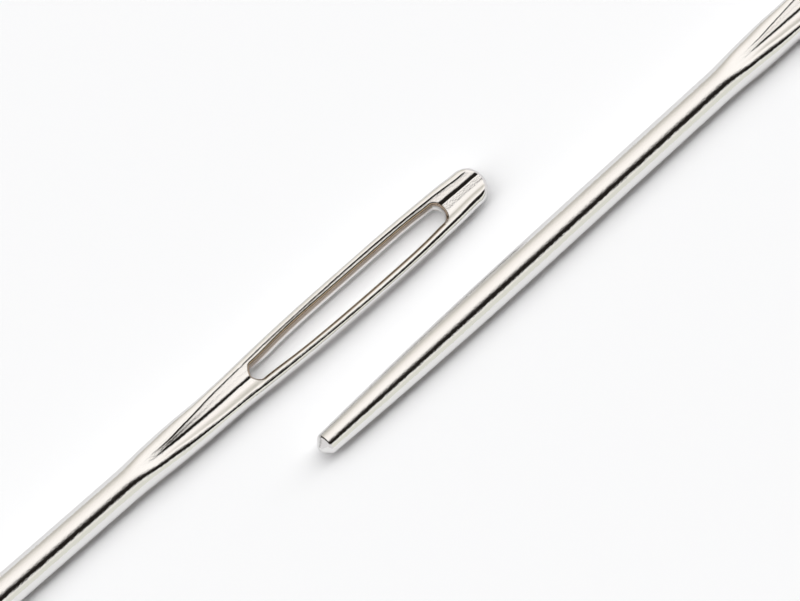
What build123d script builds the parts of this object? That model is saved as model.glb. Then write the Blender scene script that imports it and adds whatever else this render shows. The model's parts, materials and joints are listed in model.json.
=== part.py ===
from build123d import *
from math import radians, sin, tan
import os

# A pair of large-eyed yarn needles lying side by side on a table.
# Each needle is one piece of plated steel wire: a stamped head with a long eye and a
# gutter down each face, a round shank, and a taper that ends in a blunt tip.
# Sizes are in millimetres. A needle is drawn with its axis on X, the end of its head at
# X zero and its eye facing up, and then laid in its place in the pair.

# Whole needle
needle_length = 70.0
shank_diameter = 2.35

# Blunt tip
taper_length = 18.6
shoulder_diameter = 1.6
point_length = 0.69
end_diameter = 0.42
shoulder_round = 0.3
end_round = 0.12

# Head, flattened from the wire: a dome, the widest place at the eye's belly, the foot of
# the eye, a waist and a slight bulge
dome_width = 2.8
belly_width = 3.26
foot_width = 2.82
waist_width = 2.62
bulge_width = 2.66
head_crown = 1.72
neck_length = 11.6

# Eye
eye_inset = 3.4
eye_length = 17.7
eye_width = 1.55
eye_top_round = 0.62
eye_foot_round = 0.49
eye_rim_bevel = 0.12

# Gutter stamped in both faces, level along the head and running out below the eye
gutter_depth = 0.475
gutter_slope = 16.0
gutter_root_round = 0.3
gutter_run_out = 8.6

# How the pair lies: the right needle's tip is beside the left needle's eye
tip_behind_head = 21.43
axis_spacing = 6.91
right_turn = 1.1

# Places along the eye and along the neck, as shares of their lengths
crown_share = 0.035
high_eye_share = 0.19
belly_share = 0.5
low_eye_share = 0.78
waist_share = 0.23
bulge_share = 0.47
nape_share = 0.76

# Widths between the named ones, as shares of the difference
crown_width_share = 0.48
high_eye_width_share = 0.76
low_eye_width_share = 0.62
nape_width_share = 0.3

# How far the crown, which is the thickness before the gutters, has grown to the wire's
foot_crown_share = 0.2
waist_crown_share = 0.48
bulge_crown_share = 0.78
nape_crown_share = 0.96

# Even steps of the head's loft and of the taper's curve
head_steps = 20
taper_steps = 3

# One overrun serves every cut
overrun = 1.0

# Sizes worked out from the ones above
shank_radius = shank_diameter / 2
dome_radius = dome_width / 2
eye_foot = eye_inset + eye_length
eye_belly = eye_inset + belly_share * eye_length
gutter_bend = eye_foot - 4 * eye_foot_round
shank_start = eye_foot + neck_length
crown_gain = shank_diameter - head_crown
foot_crown = head_crown + foot_crown_share * crown_gain
waist_crown = head_crown + waist_crown_share * crown_gain
bulge_crown = head_crown + bulge_crown_share * crown_gain
nape_crown = head_crown + nape_crown_share * crown_gain
crown_width = dome_width + crown_width_share * (belly_width - dome_width)
high_eye_width = dome_width + high_eye_width_share * (belly_width - dome_width)
low_eye_width = foot_width + low_eye_width_share * (belly_width - foot_width)
nape_width = shank_diameter + nape_width_share * (bulge_width - shank_diameter)

# The head's guide line, from the dome to the shank: how far each place is from the end of
# the head, half the width there and half the crown
head_places = (
    (dome_radius, dome_width / 2, head_crown / 2),
    (eye_inset + crown_share * eye_length, crown_width / 2, head_crown / 2),
    (eye_inset + high_eye_share * eye_length, high_eye_width / 2, head_crown / 2),
    (eye_belly, belly_width / 2, head_crown / 2),
    (eye_inset + low_eye_share * eye_length, low_eye_width / 2, head_crown / 2),
    (eye_foot, foot_width / 2, foot_crown / 2),
    (eye_foot + waist_share * neck_length, waist_width / 2, waist_crown / 2),
    (eye_foot + bulge_share * neck_length, bulge_width / 2, bulge_crown / 2),
    (eye_foot + nape_share * neck_length, nape_width / 2, nape_crown / 2),
    (shank_start, shank_radius, shank_radius),
)


def section_plane(distance):
    """The plane across the needle, at a distance from the end of the head."""
    return Plane.YZ.offset(-distance)


def gutter_section(distance, floor, face):
    """A gutter's cutter there: a wide V, rounded at its root, for one face of the head."""
    mouth = shank_diameter
    brim = floor + mouth * tan(radians(gutter_slope))
    with BuildSketch(section_plane(distance)) as section:
        Polygon((-mouth, face * brim), (0, face * floor), (mouth, face * brim), align=None)
        fillet(section.vertices().sort_by_distance((0, face * floor)).first, gutter_root_round)
    return section.sketch


def eye_join(end, end_round):
    """The place where a bowed side of the eye runs smoothly into its round end."""
    half_width = eye_width / 2
    reach = abs(end - eye_belly) - end_round
    bow = (reach**2 + half_width**2 - end_round**2) / (2 * (half_width - end_round))
    way = 1 if end < eye_belly else -1
    along = reach * bow / (bow - end_round)
    return way * along - eye_belly, end_round * (bow - half_width) / (bow - end_round)


with BuildPart() as needle:
    # Shank, taper and blunt tip, turned about the axis
    with BuildSketch(Plane.XZ) as side:
        with BuildLine():
            taper_start = (taper_length - needle_length, shank_radius)
            shoulder = (point_length - needle_length, shoulder_diameter / 2)
            end_corner = (-needle_length, end_diameter / 2)
            taper = TangentArc(taper_start, shoulder, tangent=(-1, 0), mode=Mode.PRIVATE)
            Polyline((-needle_length, 0), (-shank_start, 0), (-shank_start, shank_radius), taper_start)
            Polyline([taper @ (number / taper_steps) for number in range(taper_steps + 1)])
            Polyline(shoulder, end_corner, (-needle_length, 0))
        make_face()
        fillet(side.vertices().sort_by_distance(shoulder).first, shoulder_round)
        fillet(side.vertices().sort_by_distance(end_corner).first, end_round)
    revolve(axis=Axis.X)

    # Stamped head, lofted through even steps of its guide line
    guide = Spline(*head_places, tangents=((1, 0, 0), (1, 0, 0)), mode=Mode.PRIVATE)
    for number in range(head_steps + 1):
        place, half_width, half_crown = guide @ (number / head_steps)
        with BuildSketch(section_plane(place)):
            Ellipse(half_width, half_crown)
    loft(ruled=True)

    # Dome that ends the head, half of its first section turned about the upright line
    with BuildSketch(section_plane(dome_radius)):
        Ellipse(dome_width / 2, head_crown / 2)
        split(bisect_by=Plane.YZ, keep=Keep.BOTTOM)
    revolve(axis=Axis((-dome_radius, 0, 0), (0, 0, 1)), revolution_arc=180)

    # Gutters stamped in both faces, through the end of the head and out below the eye
    for face in (1, -1):
        level_end = gutter_section(gutter_bend, head_crown / 2 - gutter_depth, face)
        low_end = gutter_section(eye_foot + gutter_run_out, nape_crown / 2, face)
        extrude(level_end, amount=gutter_bend + overrun, mode=Mode.SUBTRACT)
        loft([level_end, low_end], ruled=True, mode=Mode.SUBTRACT)

    # Eye, a long slot with bowed sides and round ends
    with BuildSketch():
        with BuildLine():
            for end, end_round in ((eye_inset, eye_top_round), (eye_foot, eye_foot_round)):
                along, across = eye_join(end, end_round)
                ThreePointArc((along, across), (-end, 0), (along, -across))
                for hand in (1, -1):
                    belly = (-eye_belly, hand * eye_width / 2)
                    TangentArc(belly, (along, hand * across), tangent=(along + eye_belly, 0))
        make_face()
    extrude(amount=shank_diameter, both=True, mode=Mode.SUBTRACT)

    # Rims of the eye, bevelled so that they don't fray yarn
    slot_edges = needle.edges(Select.LAST)
    slot_edges = slot_edges.filter_by_position(Axis.X, -eye_foot - eye_rim_bevel, -eye_inset + eye_rim_bevel)
    chamfer(slot_edges.filter_by(GeomType.LINE, reverse=True), eye_rim_bevel)

# The pair's middle is X and Y zero, and both shanks lie on Z zero
straight_box = needle.part.bounding_box()
turned_box = needle.part.rotate(Axis.Z, right_turn).bounding_box()
turned_rise = needle_length * sin(radians(right_turn))
left_end = (straight_box.size.X + tip_behind_head - turned_box.size.X) / 2
left_line = (axis_spacing - turned_rise - straight_box.max.Y - turned_box.min.Y) / 2
right_end = left_end - tip_behind_head - turned_box.min.X
right_line = left_line - axis_spacing + turned_rise

with BuildPart() as left_needle:
    with Locations((left_end, left_line, shank_radius)):
        add(needle.part)

with BuildPart() as right_needle:
    with Locations(Location((right_end, right_line, shank_radius), (0, 0, right_turn))):
        add(needle.part)

os.makedirs("parts", exist_ok=True)
left_needle.part.label = "left_needle"
right_needle.part.label = "right_needle"
export_step(left_needle.part, "parts/left_needle.step")
export_step(right_needle.part, "parts/right_needle.step")
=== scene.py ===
import json
from math import cos, hypot, pi, radians, sin, sqrt

import bmesh
import bpy
import numpy as np
from mathutils import Matrix, Vector


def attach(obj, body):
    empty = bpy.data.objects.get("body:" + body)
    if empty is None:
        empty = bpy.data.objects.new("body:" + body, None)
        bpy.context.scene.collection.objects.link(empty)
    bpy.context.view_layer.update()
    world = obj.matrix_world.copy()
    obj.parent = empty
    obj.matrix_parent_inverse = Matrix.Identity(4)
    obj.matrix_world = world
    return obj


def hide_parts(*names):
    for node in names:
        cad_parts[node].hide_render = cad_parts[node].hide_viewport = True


# Two bright plated yarn needles on a white table. A needle is modelled in millimetres with
# its axis on X, the end of its head at X zero and its eye facing up, and is then laid on
# the shank that the frame gives for it. In the functions, s is how far a place is from the
# end of the head, y is how far it is to the left of the axis and z how far above it.
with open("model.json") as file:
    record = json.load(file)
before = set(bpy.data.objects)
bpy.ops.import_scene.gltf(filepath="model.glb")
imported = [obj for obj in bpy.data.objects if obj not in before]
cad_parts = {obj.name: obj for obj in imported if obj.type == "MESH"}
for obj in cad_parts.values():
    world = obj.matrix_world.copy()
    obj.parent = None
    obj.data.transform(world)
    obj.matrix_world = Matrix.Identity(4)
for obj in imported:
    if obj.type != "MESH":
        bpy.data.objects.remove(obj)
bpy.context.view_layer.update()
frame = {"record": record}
MM = 0.001

# Wire, taper and blunt tip. The taper's curve starts a little ahead of the taper's length,
# and the corners of the tip are cut back along their edges and rounded
needle_length = 70.0
shank_radius = 1.175
taper_length = 18.6
taper_lead = 1.0
shoulder_radius = 0.8
point_length = 0.54
end_radius = 0.21
shoulder_cut = 0.15
end_cut = 0.12

# Head: how far a place is from its end, then half the width, half the spread between the
# two ridges, the ridges' height, and how full the flank outside them is
head_places = (
    (1.42, 1.42, 0.95, 0.62, 2.0),
    (2.75, 1.49, 1.04, 0.64, 2.0),
    (4.7, 1.56, 1.16, 0.655, 2.1),
    (6.35, 1.595, 1.23, 0.66, 2.7),
    (12.25, 1.615, 1.295, 0.66, 3.2),
    (16.15, 1.59, 1.22, 0.66, 2.7),
    (19.24, 1.51, 1.11, 0.68, 2.4),
    (21.3, 1.42, 0.99, 0.71, 2.3),
    (22.9, 1.355, 0.91, 0.77, 2.2),
    (24.5, 1.333, 0.85, 0.84, 2.1),
    (26.0, 1.335, 0.73, 0.93, 2.5),
    (27.4, 1.335, 0.63, 1.01, 2.9),
    (28.8, 1.32, 0.50, 1.08, 2.5),
    (30.3, 1.26, 0.45, 1.14, 2.3),
    (32.7, 1.175, 0.0, 1.175, 2.0),
)
shank_start = 32.7

# Dome that ends the head: half its width, how far it reaches, and where its ridge lies. The
# rim round the end is narrower than the rails beside the eye
dome_radius = 1.42
dome_reach = 1.32
end_ridge = 1.14

# The flank of the head leaves its ridge at a slope, which it takes up gently, then falls
# steeply. It falls less steeply at the neck
flank_slope = 0.27
flank_ease = 0.02
flank_power = 4
neck_flank_power = 2
flank_change = (21.0, 28.0)

# Gutter: its tilt in degrees across the face, from its right ridge at -1 to its left one
# at 1, over the eye and under it
high_gutter_tilts = (
    (-1.0, 0), (-0.94, -6), (-0.88, -17), (-0.81, -25), (-0.74, -30), (-0.68, -35),
    (-0.61, -23), (-0.54, -14), (-0.48, -6), (-0.38, -2), (-0.28, 4), (-0.16, 5.5),
    (0.04, 5.5), (0.11, 4), (0.17, 7), (0.215, 14), (0.26, 20), (0.40, 19),
    (0.45, 11), (0.485, 6), (0.52, 4.5), (0.70, 5), (0.82, 7), (0.88, 10),
    (0.915, 18), (0.98, 19), (0.992, 9), (1.0, 0),
)
low_gutter_tilts = (
    (-1.0, 0), (-0.97, -6), (-0.92, -17), (-0.86, -25), (-0.77, -27), (-0.65, -23),
    (-0.57, -19), (-0.48, -13), (-0.36, -3.5), (-0.27, 0.5), (-0.18, 6), (-0.12, 12.5),
    (-0.08, 20), (0.03, 20.5), (0.09, 14), (0.14, 7), (0.20, 5), (0.35, 6),
    (0.435, 9), (0.52, 8), (0.60, 5.5), (0.74, 6), (0.84, 9), (0.895, 18),
    (0.96, 19), (0.985, 9), (1.0, 0),
)

# Steps in which the tilts are summed up, and how many steps to each side smooth one tilt
across_step = 0.002
tilt_blur = 14

# Where the gutter changes from the one shape to the other, how its left ridge closes in on
# the axis down the neck, and where the gutter runs out
gutter_change = (8.0, 20.0)
left_ridge_shares = ((21.5, 1.0), (25.6, 0.88), (27.7, 0.74), (32.7, 0.6))
run_out = (28.0, 31.6)
least_spread = 0.01

# How far the left needle's head is rolled about its axis, in degrees, and how far it is
# bowed to its right
head_rolls = ((1.42, 3.7), (26.5, 3.7), (29.5, 5.5), (32.7, 0.0))
head_bows = (
    (1.42, 0.02), (9.0, 0.08), (15.0, 0.08), (22.9, 0.08), (25.6, 0.09), (28.5, 0.03),
    (32.7, 0.0),
)

# Eye: how long, wide and full its round ends are, and its half width between them
eye_inset = 3.76
eye_length = 17.53
eye_top = (0.62, 0.72, 2.2)
eye_low = (0.45, 0.62, 1.4)
eye_foot = eye_inset + eye_length
top_centre = eye_inset + eye_top[0]
foot_centre = eye_foot - eye_low[0]
eye_places = (
    (top_centre, eye_top[1]),
    (5.5, 0.785),
    (6.4, 0.835),
    (8.5, 0.872),
    (12.25, 0.885),
    (16.15, 0.86),
    (17.8, 0.80),
    (19.24, 0.70),
    (foot_centre, eye_low[1]),
)

# Rims of the eye: how wide they are, and the most of the wall's height that they take
left_rim = 0.18
right_rim = 0.30
end_rim = 0.14
rim_share = 0.6

# The lower half of the eye's wall leans into the eye: how far, how soon under the axis, how
# near the wall, and how far before the foot it ends
wall_lean = 0.1
lean_rise = (0.0, 0.5)
lean_reach = (0.0, 0.4)
lean_fade = 1.5
least_reach = 0.001

# Mesh densities
turn_steps = 192
side_steps = 132
dome_steps = 58
wall_steps = 6
rim_steps = 7
top_steps = 44
neck_steps = 104
taper_steps = 48
shoulder_steps = 10
end_steps = 8
merge_gap = 1e-4

# The head's half loop runs a quarter turn round the foot of the eye, up one side and a
# quarter turn round the dome. The rays of the quarter turns meet the eye's round ends up to
# the end turn, and the side's even spacing eases into them beyond its two marks
neck_start = 22.4
quarter_steps = turn_steps // 4
half_loop = quarter_steps + side_steps + dome_steps
end_turn = radians(62)
top_mark = 6.4
foot_mark = 18.6

# Rings of the head, from the axis up the eye's wall, over its rim and out to the outline
rim_ring = wall_steps + rim_steps
outer_ring = rim_ring + top_steps


def smooth_curve(places):
    """A smooth function through the places, level at both ends."""
    xs = np.array([place[0] for place in places], float)
    ys = np.array([place[1] for place in places], float)
    gaps = np.diff(xs)
    rises = np.diff(ys) / gaps
    count = len(xs)
    left = np.zeros((count, count))
    right = np.zeros(count)
    left[0, 0] = left[-1, -1] = 1
    for i in range(1, count - 1):
        left[i, i - 1:i + 2] = gaps[i], 2 * (gaps[i - 1] + gaps[i]), gaps[i - 1]
        right[i] = 3 * (gaps[i] * rises[i - 1] + gaps[i - 1] * rises[i])
    slopes = np.linalg.solve(left, right)

    def value(x):
        x = min(max(x, xs[0]), xs[-1])
        i = min(int(np.searchsorted(xs, x, side="right")) - 1, count - 2)
        i = max(i, 0)
        h = gaps[i]
        t = (x - xs[i]) / h
        return float(
            ys[i] * (1 + 2 * t) * (1 - t) ** 2 + slopes[i] * h * t * (1 - t) ** 2
            + ys[i + 1] * t * t * (3 - 2 * t) + slopes[i + 1] * h * t * t * (t - 1)
        )
    return value


half_width, ridge_spread, ridge_height, flank_fullness = (
    smooth_curve([(place[0], place[column]) for place in head_places]) for column in (1, 2, 3, 4)
)
head_roll = smooth_curve(head_rolls)
head_bow = smooth_curve(head_bows)
left_ridge_share = smooth_curve(left_ridge_shares)
eye_side = smooth_curve(eye_places)


def gutter_curve(tilts):
    """How deep the gutter lies across the face, summed up from its tilts; both ridges are
    brought to the same height."""
    across = np.arange(-1.0, 1.0 + across_step / 2, across_step)
    slopes = np.interp(across, [tilt[0] for tilt in tilts], [tilt[1] for tilt in tilts])
    window = 2 * tilt_blur + 1
    slopes = np.convolve(np.pad(slopes, tilt_blur, mode="edge"), np.ones(window) / window, mode="valid")
    heights = np.cumsum(np.tan(np.radians(slopes))) * across_step
    left, right = heights[-1], heights[0]
    heights -= (left - right) / 2 * across
    return across, heights[-1] - heights


high_across, high_depths = gutter_curve(high_gutter_tilts)
low_across, low_depths = gutter_curve(low_gutter_tilts)


def smooth_step(value, start, end):
    """Zero before the start, one after the end and smooth between them."""
    share = min(max((value - start) / (end - start), 0.0), 1.0)
    return share * share * (3 - 2 * share)


def gutter_depth(s, y):
    """How deep the gutter lies at a place; it runs out below the eye."""
    across = y / max(ridge_spread(s), least_spread)
    if y > 0:
        across /= left_ridge_share(s)
    if abs(across) > 1:
        return 0.0
    change = smooth_step(s, *gutter_change)
    depth = (1 - change) * np.interp(across, high_across, high_depths)
    depth += change * np.interp(across, low_across, low_depths)
    return ridge_spread(s) * float(depth) * (1 - smooth_step(s, *run_out))


def face_height(s, y):
    """Height of the face: the gutter between the two ridges and the flanks outside them; the
    gutter is open at the end of the head."""
    width, spread = half_width(s), ridge_spread(s)
    reach = abs(y)
    if s < dome_radius:
        ahead = (dome_radius - s) * dome_radius / dome_reach
        reach = hypot(ahead, y)
        spread += (end_ridge - spread) * (ahead / reach) ** 2
    height = ridge_height(s) - gutter_depth(s, y)
    if reach <= spread:
        return height
    off = reach - spread
    out = min(off / (width - spread), 1.0)
    change = smooth_step(s, *flank_change)
    power = flank_power + change * (neck_flank_power - flank_power)
    top = height - (1 - change) * flank_slope * off * off / (off + flank_ease)
    return top * (1 - out**power) ** (1 / flank_fullness(s))


def end_place(turn, end):
    """A place on a round end of the eye: how far out and how far across it is."""
    reach, half, fullness = end
    return reach * cos(turn) ** (2 / fullness), half * sin(turn) ** (2 / fullness)


def end_width(out, end):
    """Half the width of a round end of the eye at a distance from its middle."""
    reach, half, fullness = end
    return half * max(0.0, 1 - (out / reach) ** fullness) ** (1 / fullness)


def end_way(out, across, end):
    """The way out of the eye at a place on its round end."""
    reach, half, fullness = end
    ahead = (out / reach) ** (fullness - 1) / reach
    aside = (across / half) ** (fullness - 1) / half
    size = hypot(ahead, aside)
    return ahead / size, aside / size


def side_place(s):
    """Where along the eye the ray from a place on the head's side meets it."""
    if s > foot_mark:
        low_end = foot_centre + end_place(end_turn, eye_low)[0]
        return foot_mark + (s - foot_mark) / (neck_start - foot_mark) * (low_end - foot_mark)
    if s < top_mark:
        high_end = top_centre - end_place(end_turn, eye_top)[0]
        return top_mark - (top_mark - s) / (top_mark - dome_radius) * (top_mark - high_end)
    return s


def loop_rays(step):
    """Inner place, way out of the eye, and outer place for one step of the half loop that
    runs from the foot of the head, up one side and round the dome."""
    if step <= quarter_steps:
        share = step / quarter_steps
        outer = (neck_start, half_width(neck_start) * sin(share * pi / 2))
        out, across = end_place(share * end_turn, eye_low)
        return (foot_centre + out, across), end_way(out, across, eye_low), outer
    if step <= quarter_steps + side_steps:
        share = (step - quarter_steps) / side_steps
        s = neck_start + share * (dome_radius - neck_start)
        outer = (s, half_width(s))
        place = side_place(s)
        if place < top_centre:
            out = top_centre - place
            across = end_width(out, eye_top)
            way = end_way(out, across, eye_top)
            return (place, across), (-way[0], way[1]), outer
        if place > foot_centre:
            out = place - foot_centre
            across = end_width(out, eye_low)
            return (place, across), end_way(out, across, eye_low), outer
        return (place, eye_side(place)), (0.0, 1.0), outer
    share = (step - quarter_steps - side_steps) / dome_steps
    turn = share * pi / 2
    outer = (dome_radius - dome_reach * sin(turn), dome_radius * cos(turn))
    out, across = end_place((1 - share) * end_turn, eye_top)
    way = end_way(out, across, eye_top)
    return (top_centre - out, across), (-way[0], way[1]), outer


def head_point(step, ring):
    """A point of the upper half of the head: up the eye's wall, over its rim and across the
    face to the outline."""
    hand = 1 if step >= 0 else -1
    inner, way, outer = loop_rays(abs(step))
    side_rim = left_rim if hand == 1 else right_rim
    rim = side_rim + (end_rim - side_rim) * way[0] ** 2
    if ring <= rim_ring:
        rise = max(0, ring - wall_steps) / rim_steps * pi / 2
        out = rim * (1 - cos(rise))
        s = inner[0] + way[0] * out
        y = hand * (inner[1] + way[1] * out)
        drop = min(rim, rim_share * face_height(inner[0], hand * inner[1]))
        top = face_height(s, y) - drop * (1 - sin(rise))
        return Vector((-s, y, top * min(1.0, ring / wall_steps)))
    rim_place = (inner[0] + way[0] * rim, inner[1] + way[1] * rim)
    share = sin((ring - rim_ring) / top_steps * pi / 2)
    s = rim_place[0] + (outer[0] - rim_place[0]) * share
    y = hand * (rim_place[1] + (outer[1] - rim_place[1]) * share)
    if ring == outer_ring and abs(step) >= quarter_steps:
        return Vector((-s, y, 0))
    return Vector((-s, y, face_height(s, y)))


def neck_point(around, along):
    """A point of the upper half of the neck, from the foot of the head to the shank."""
    s = neck_start + (shank_start - neck_start) * along / neck_steps
    turn = pi * around / (turn_steps // 2)
    y = half_width(s) * cos(turn)
    if around in (0, turn_steps // 2):
        return Vector((-s, y, 0))
    return Vector((-s, y, face_height(s, y)))


def shaped_grid(mesh, columns, rows, place):
    """A grid whose every corner is moved to its place."""
    grid = bmesh.ops.create_grid(mesh, x_segments=columns, y_segments=rows, size=0.5)
    for vert in grid["verts"]:
        column = round((vert.co.x + 0.5) * columns)
        row = round((vert.co.y + 0.5) * rows)
        vert.co = place(column, row)


def turned_end(mesh):
    """Shank, taper and blunt tip, turned from one profile."""
    bend_length = taper_length + taper_lead - point_length
    drop = shank_radius - shoulder_radius
    bend = (bend_length**2 + drop**2) / (2 * drop)
    profile = [(-shank_start, shank_radius)]
    for step in range(taper_steps + 1):
        along = bend_length * step / taper_steps
        profile.append((taper_length + taper_lead - needle_length - along,
                        shank_radius - bend + sqrt(bend**2 - along**2)))
    profile += [(-needle_length, end_radius), (-needle_length, 0)]
    wire = bmesh.new()
    verts = [wire.verts.new((x, 0, radius)) for x, radius in profile]
    for first, second in zip(verts, verts[1:]):
        wire.edges.new((first, second))
    for corner, cut, steps in ((verts[-3], shoulder_cut, shoulder_steps), (verts[-2], end_cut, end_steps)):
        bmesh.ops.bevel(wire, geom=[corner], offset=cut, segments=steps, profile=0.5,
                        affect="VERTICES", material=-1)
    bmesh.ops.spin(wire, geom=wire.verts[:] + wire.edges[:], cent=(0, 0, 0), axis=(1, 0, 0),
                   angle=2 * pi, steps=turn_steps, use_merge=True)
    turned = bpy.data.meshes.new("turned")
    wire.to_mesh(turned)
    wire.free()
    mesh.from_mesh(turned)
    bpy.data.meshes.remove(turned)


def eye_gap(s, y):
    """How far a place is from the eye's wall."""
    if top_centre <= s <= foot_centre:
        return abs(y) - eye_side(s)
    out, end = (top_centre - s, eye_top) if s < top_centre else (s - foot_centre, eye_low)
    reach, half, fullness = end
    size = ((out / reach) ** fullness + (abs(y) / half) ** fullness) ** (1 / fullness)
    return (size - 1) * min(reach, half)


# The eye's inside gets a painted brown shade, standing in for the dim reflections between
# its walls: out to a share of the rim's width, down to a height on its sides, and on its top
# end above the one height and below the other
shade_rim_shares = (0.65, 1.1)
shade_side_height = (-0.25, -0.02)
shade_top_start = 0.25
shade_top_height = (0.12, 0.28)
shade_low_height = (-0.48, -0.30)

# The gutter's floor is pitted along its valley, given in shares of the ridges' spread on
# both stretches of the gutter, and again where the gutter has run out. Each pair is where
# the pits begin and are full, or begin to fade and are gone
valley_change = 12.0
high_valley_shares = ((-0.30, -0.14), (0.14, 0.20))
low_valley_shares = ((-0.46, -0.30), (-0.18, -0.12))
least_valley_spread = 0.3
valley_height = (0.1, 0.3)
valley_eye_gap = (0.1, 0.3)
valley_end = (22.4, 24.0)
patch_along = ((28.6, 29.8), (31.2, 32.4))
patch_across = ((-0.75, -0.35), (0.15, 0.55))
patch_height = (0.4, 0.8)
patch_share = 0.8


def within(value, rise, fall):
    """One inside a band that rises and falls smoothly at its two edges, zero outside it."""
    return smooth_step(value, *rise) * (1 - smooth_step(value, *fall))


def painted_eye_shade(s, y, z):
    """How strongly a place gets the painted brown shade of the eye's inside."""
    rim = left_rim if y > 0 else right_rim
    if s < top_centre or s > foot_centre:
        rim = end_rim
    shade = 1 - smooth_step(eye_gap(s, y), shade_rim_shares[0] * rim, shade_rim_shares[1] * rim)
    if s < top_centre - shade_top_start:
        return shade * max(smooth_step(z, *shade_top_height), 1 - smooth_step(z, *shade_low_height))
    return shade * smooth_step(z, *shade_side_height)


def gutter_pits(s, y, z):
    """How strongly a place on the face is pitted."""
    shares = high_valley_shares if s < valley_change else low_valley_shares
    valley = within(y / max(ridge_spread(s), least_valley_spread), *shares)
    valley *= smooth_step(abs(z), *valley_height) * smooth_step(eye_gap(s, y), *valley_eye_gap)
    valley *= (1 - smooth_step(s, *valley_end)) * (1 - painted_eye_shade(s, y, z))
    patch = within(s, *patch_along) * within(y, *patch_across) * smooth_step(abs(z), *patch_height)
    return max(valley, patch_share * patch)


def mark_finish(mesh):
    """Mark the eye's inside for its painted brown shade, and the gutter's pitted floor, for the plate's
    material.
    """
    inside = mesh.verts.layers.float.new("inside")
    pitted = mesh.verts.layers.float.new("pitted")
    for vert in mesh.verts:
        s, y, z = -vert.co.x, vert.co.y, vert.co.z
        if s <= shank_start:
            # The inside layer holds how strongly the painted brown shade of the eye covers a place
            vert[inside] = painted_eye_shade(s, y, z)
            vert[pitted] = gutter_pits(s, y, z)


def lean_wall(mesh):
    """Lean the lower half of the eye's wall into the eye, but for its foot."""
    for vert in mesh.verts:
        s, y, z = -vert.co.x, vert.co.y, vert.co.z
        if z >= 0 or s >= foot_centre or s < dome_radius:
            continue
        lean = wall_lean * (1 - smooth_step(s, foot_centre - lean_fade, foot_centre))
        lean *= smooth_step(-z, *lean_rise) * (1 - smooth_step(eye_gap(s, y), *lean_reach))
        ahead = min(s - top_centre, 0.0)
        reach = max(hypot(ahead, y), least_reach)
        vert.co.x += lean * ahead / reach
        vert.co.y -= lean * y / reach


def needle_mesh(rolled):
    """One needle in millimetres, along X."""
    mesh = bmesh.new()
    shaped_grid(mesh, 2 * half_loop, outer_ring, lambda column, row: head_point(column - half_loop, row))
    shaped_grid(mesh, turn_steps // 2, neck_steps, neck_point)
    bmesh.ops.remove_doubles(mesh, verts=mesh.verts, dist=merge_gap)
    bmesh.ops.mirror(mesh, geom=mesh.verts[:] + mesh.edges[:] + mesh.faces[:], axis="Z",
                     merge_dist=merge_gap)
    turned_end(mesh)
    bmesh.ops.remove_doubles(mesh, verts=mesh.verts, dist=merge_gap)
    bmesh.ops.recalc_face_normals(mesh, faces=mesh.faces)
    mark_finish(mesh)
    lean_wall(mesh)
    if rolled:
        for vert in mesh.verts:
            s = -vert.co.x
            if s < shank_start:
                vert.co.rotate(Matrix.Rotation(radians(head_roll(s)), 3, "X"))
                vert.co.y -= head_bow(s)
    return mesh


def shank_frame(mount_name):
    """Where a needle lies: X from its tip to its head, Z up, origin at the head's end."""
    mount = next(m for m in frame["record"]["mounts"] if m["name"] == mount_name)
    ahead = -Vector(mount["axis"]).normalized()
    shank_middle = (shank_start + needle_length - taper_length) / 2
    head_end = Vector(mount["pos_m"]) + ahead * shank_middle * MM
    across = Vector((0, 0, 1)).cross(ahead)
    turn = Matrix((ahead, across, Vector((0, 0, 1)))).transposed().to_4x4()
    return Matrix.Translation(head_end) @ turn


def lay_needle(name, mount_name, node, body, material, rolled):
    """One finished needle in its place in the pair."""
    shaped = needle_mesh(rolled)
    bmesh.ops.transform(shaped, matrix=shank_frame(mount_name) @ Matrix.Scale(MM, 4), verts=shaped.verts)
    data = bpy.data.meshes.new(name)
    shaped.to_mesh(data)
    shaped.free()
    for polygon in data.polygons:
        polygon.use_smooth = True
    data.materials.append(material)
    piece = bpy.data.objects.new(name, data)
    bpy.context.scene.collection.objects.link(piece)
    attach(piece, body)
    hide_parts(node)


class Shader:
    """Shorthand for adding and joining the nodes of one material or of the world."""

    def __init__(self, owner):
        owner.use_nodes = True
        self.tree = owner.node_tree
        self.tree.nodes.clear()

    def add(self, kind, settings=None, **inputs):
        """A node with its settings; an input goes by its name, or by i and its number."""
        node = self.tree.nodes.new(kind)
        for key, value in (settings or {}).items():
            setattr(node, key, value)
        for key, value in inputs.items():
            numbered = key[0] == "i" and key[1:].isdigit()
            socket = node.inputs[int(key[1:]) if numbered else key.replace("_", " ")]
            if isinstance(value, bpy.types.NodeSocket):
                self.tree.links.new(value, socket)
            else:
                socket.default_value = value
        return node


# Plate: its tone, the painted brown shade of the eye's inside, the glancing edges, and how
# rough it is, smooth and pitted
plate_tone = (0.80, 0.795, 0.785, 1)
painted_shade_tone = (0.43, 0.35, 0.27, 1)
glancing_tone = (0.74, 0.72, 0.73, 1)
plate_roughness = 0.05
pit_roughness = 0.1

# Marks in the plate: how many there are to a metre, along the wire and across it, how much
# detail they have and how deep they are in metres
streak_scale = (220, 9000, 9000)
streak_detail = 4.0
streak_depth = 0.0000012
grain_scale = (4500, 6500, 6500)
grain_detail = 3.0
grain_depth = 0.000009
pit_scale = (9000, 12000, 12000)
pit_detail = 2.0
pit_depth = 0.000014


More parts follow.
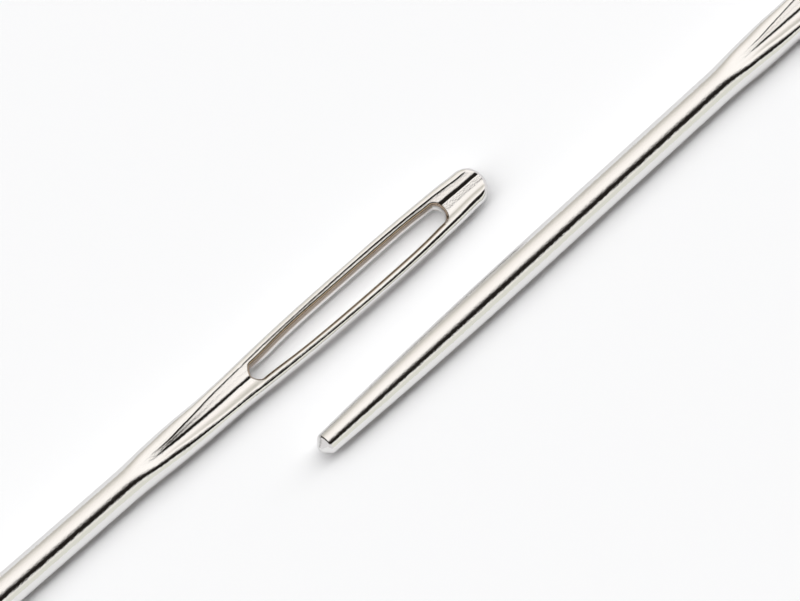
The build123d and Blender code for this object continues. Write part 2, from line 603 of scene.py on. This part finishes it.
def plated_steel(name, mount_name):
    """Bright nickel plate over drawn wire, with faint marks along the wire and a painted brown shade in
    the eye's inside.
    """
    material = bpy.data.materials.new(name)
    shader = Shader(material)
    wire = shank_frame(mount_name)
    coordinates = shader.add("ShaderNodeTexCoord")
    place = shader.add("ShaderNodeMapping", {"vector_type": "TEXTURE"},
                       Vector=coordinates.outputs["Object"], Location=wire.to_translation(),
                       Rotation=wire.to_euler())

    def marks(scale, detail):
        spacing = shader.add("ShaderNodeMapping", Vector=place.outputs[0], Scale=scale)
        noise = shader.add("ShaderNodeTexNoise", Vector=spacing.outputs[0], Scale=1.0, Detail=detail)
        return noise.outputs["Fac"]

    streaks = marks(streak_scale, streak_detail)
    grain = marks(grain_scale, grain_detail)
    pits = marks(pit_scale, pit_detail)
    pitted = shader.add("ShaderNodeAttribute", {"attribute_name": "pitted"})
    inside = shader.add("ShaderNodeAttribute", {"attribute_name": "inside"})
    deep_pits = shader.add("ShaderNodeMath", {"operation": "MULTIPLY"}, i0=pits, i1=pitted.outputs["Fac"])
    streak_bump = shader.add("ShaderNodeBump", Strength=1.0, Distance=streak_depth, Height=streaks)
    grain_bump = shader.add("ShaderNodeBump", Strength=1.0, Distance=grain_depth, Height=grain,
                            Normal=streak_bump.outputs["Normal"])
    pit_bump = shader.add("ShaderNodeBump", Strength=1.0, Distance=pit_depth,
                          Height=deep_pits.outputs[0], Normal=grain_bump.outputs["Normal"])
    # The eye's inside is mixed towards a painted brown shade, standing in for the reflections between its
    # walls
    colour = shader.add("ShaderNodeMix", {"data_type": "RGBA"}, i0=inside.outputs["Fac"],
                        i6=plate_tone, i7=painted_shade_tone)
    dull = shader.add("ShaderNodeMath", {"operation": "MULTIPLY"}, i0=pitted.outputs["Fac"],
                      i1=pit_roughness)
    roughness = shader.add("ShaderNodeMath", {"operation": "ADD"}, i0=dull.outputs[0], i1=plate_roughness)
    surface = shader.add("ShaderNodeBsdfPrincipled", Base_Color=colour.outputs[2], Metallic=1.0,
                         Specular_Tint=glancing_tone, Roughness=roughness.outputs[0],
                         Normal=pit_bump.outputs["Normal"])
    shader.add("ShaderNodeOutputMaterial", Surface=surface.outputs[0])
    return material


# The light tent that the needles mirror: its brightness by the angle over them, from the
# table's far side at -90 degrees, over the top at zero, to its near side at 90 degrees
tent_tones = (
    (-180, (0.86, 0.84, 0.85)),
    (-92, (0.78, 0.76, 0.76)),
    (-84, (0.67, 0.64, 0.60)),
    (-76, (0.63, 0.60, 0.54)),
    (-62, (0.86, 0.82, 0.75)),
    (-40, (1.13, 1.07, 1.02)),
    (-15, (1.23, 1.18, 1.13)),
    (-4, (1.17, 1.12, 1.07)),
    (3, (1.03, 0.98, 0.94)),
    (10, (0.54, 0.52, 0.50)),
    (16, (0.15, 0.14, 0.13)),
    (22, (0.02, 0.017, 0.015)),
    (39, (0.015, 0.012, 0.01)),
    (44, (0.05, 0.045, 0.04)),
    (48, (0.59, 0.58, 0.56)),
    (52, (0.97, 0.95, 0.90)),
    (57, (1.03, 1.00, 0.93)),
    (63, (0.86, 0.85, 0.78)),
    (84, (0.86, 0.86, 0.77)),
    (95, (0.84, 0.83, 0.80)),
    (180, (0.86, 0.85, 0.86)),
)

# The same tent as it lights the table, by the same angle
fill_tones = (
    (-180, 0.08), (-75, 0.10), (-47, 0.14), (-38, 0.30), (-32, 0.38), (-26, 0.34), (-19, 0.50),
    (-14.5, 0.58), (-9.5, 0.86), (-5, 1.0), (-2, 0.92), (3, 0.45), (8, 0.16), (13, 0.03),
    (20, 0.012), (180, 0.012),
)
fill_strength = 4.07

# Ends of the mirrored tent: beyond the needles' heads it has a plain tone, and beyond their
# tips a dark gap and then the plain tone. Each pair is where a change starts and where it
# is full, along the needles and from a middle that lies a little towards the heads. The gap
# is dark over the top and the far side, and turns plain between two angles of the near side
end_middle = 0.24
head_end = (0.26, 0.50)
gap_end = (-0.22, -0.34)
tip_end = (-0.60, -0.74)
near_side = (38, 48)
end_tone = (0.84, 0.82, 0.83, 1)
gap_tone = (0.04, 0.03, 0.025, 1)


def tone_ramp(shader, share, tones):
    """A colour ramp from tones given by their angles in degrees."""
    ramp = shader.add("ShaderNodeValToRGB", Fac=share)
    stops = ramp.color_ramp.elements
    while len(stops) < len(tones):
        stops.new(0.5)
    for stop, (angle, tone) in zip(stops, tones):
        stop.position = (angle + 180) / 360
    for stop, (angle, tone) in zip(stops, tones):
        stop.color = (*tone, 1) if isinstance(tone, tuple) else (tone, tone, tone, 1)
    return ramp.outputs["Color"]


def light_tent():
    """The world: a soft tent that the needles mirror, white where the camera sees it."""
    world = bpy.data.worlds.new("tent")
    bpy.context.scene.world = world
    shader = Shader(world)
    coordinates = shader.add("ShaderNodeTexCoord")
    parts = shader.add("ShaderNodeSeparateXYZ", Vector=coordinates.outputs["Generated"])
    near = shader.add("ShaderNodeMath", {"operation": "MULTIPLY"}, i0=parts.outputs["Y"], i1=-1.0)
    angle = shader.add("ShaderNodeMath", {"operation": "ARCTAN2"}, i0=near.outputs[0],
                       i1=parts.outputs["Z"])
    share = shader.add("ShaderNodeMapRange", Value=angle.outputs[0], From_Min=-pi, From_Max=pi)
    off_middle = shader.add("ShaderNodeMath", {"operation": "SUBTRACT"}, i0=parts.outputs["X"],
                            i1=end_middle)

    def soft_change(value, start, full):
        change = shader.add("ShaderNodeMapRange", {"interpolation_type": "SMOOTHSTEP"},
                            Value=value, From_Min=start, From_Max=full)
        return change.outputs[0]

    def blend(amount, first, second):
        mix = shader.add("ShaderNodeMix", {"data_type": "RGBA"}, i0=amount, i6=first, i7=second)
        return mix.outputs[2]

    to_side = soft_change(angle.outputs[0], radians(near_side[0]), radians(near_side[1]))
    gap = blend(to_side, gap_tone, end_tone)
    mirrored = tone_ramp(shader, share.outputs[0], tent_tones)
    for (start, full), tone in ((head_end, end_tone), (gap_end, gap), (tip_end, end_tone)):
        mirrored = blend(soft_change(off_middle.outputs[0], start, full), mirrored, tone)
    tent = shader.add("ShaderNodeBackground", Color=mirrored, Strength=1.0)
    fill = shader.add("ShaderNodeBackground", Color=tone_ramp(shader, share.outputs[0], fill_tones),
                      Strength=fill_strength)
    white = shader.add("ShaderNodeBackground", Color=(1, 1, 1, 1), Strength=1.0)
    path = shader.add("ShaderNodeLightPath")
    lit = shader.add("ShaderNodeMixShader", i0=path.outputs["Is Glossy Ray"], i1=fill.outputs[0],
                     i2=tent.outputs[0])
    seen = shader.add("ShaderNodeMixShader", i0=path.outputs["Is Camera Ray"], i1=lit.outputs[0],
                      i2=white.outputs[0])
    shader.add("ShaderNodeOutputWorld", Surface=seen.outputs[0])


# Table: how far it reaches from its middle, in metres, and its tone
table_reach = 2.0
table_tone = (0.95, 0.95, 0.955, 1)


def table():
    """The white table that the needles lie on."""
    mesh = bmesh.new()
    bmesh.ops.create_grid(mesh, x_segments=1, y_segments=1, size=table_reach)
    data = bpy.data.meshes.new("table")
    mesh.to_mesh(data)
    mesh.free()
    board = bpy.data.objects.new("table", data)
    bpy.context.scene.collection.objects.link(board)
    material = bpy.data.materials.new("white_table")
    shader = Shader(material)
    surface = shader.add("ShaderNodeBsdfDiffuse", Color=table_tone)
    shader.add("ShaderNodeOutputMaterial", Surface=surface.outputs[0])
    data.materials.append(material)


# Camera: the direction that it stands in, how far off in metres, what it aims at in
# millimetres, its lens, and how near it sees
camera_azimuth = -133.03
camera_elevation = 69.46
camera_distance = 0.6
camera_aim = (0.774, 0.623, 0.0)
lens_length = 402.3
near_clip = 0.01


def place_camera():
    """The camera, from where the pair is pictured."""
    azimuth, elevation = radians(camera_azimuth), radians(camera_elevation)
    away = Vector((cos(elevation) * cos(azimuth), cos(elevation) * sin(azimuth), sin(elevation)))
    data = bpy.data.cameras.new("camera")
    data.lens = lens_length
    data.clip_start = near_clip
    camera = bpy.data.objects.new("camera", data)
    bpy.context.scene.collection.objects.link(camera)
    camera.location = Vector(camera_aim) * MM + away * camera_distance
    camera.rotation_euler = away.to_track_quat("Z", "Y").to_euler()
    bpy.context.scene.camera = camera


lay_needle("left_needle_wire", "left_shank", "left_needle", "left_needle_body",
           plated_steel("left_plate", "left_shank"), rolled=True)
lay_needle("right_needle_wire", "right_shank", "right_needle", "right_needle_body",
           plated_steel("right_plate", "right_shank"), rolled=False)
table()
light_tent()
place_camera()
bpy.context.scene.view_settings.view_transform = "Standard"
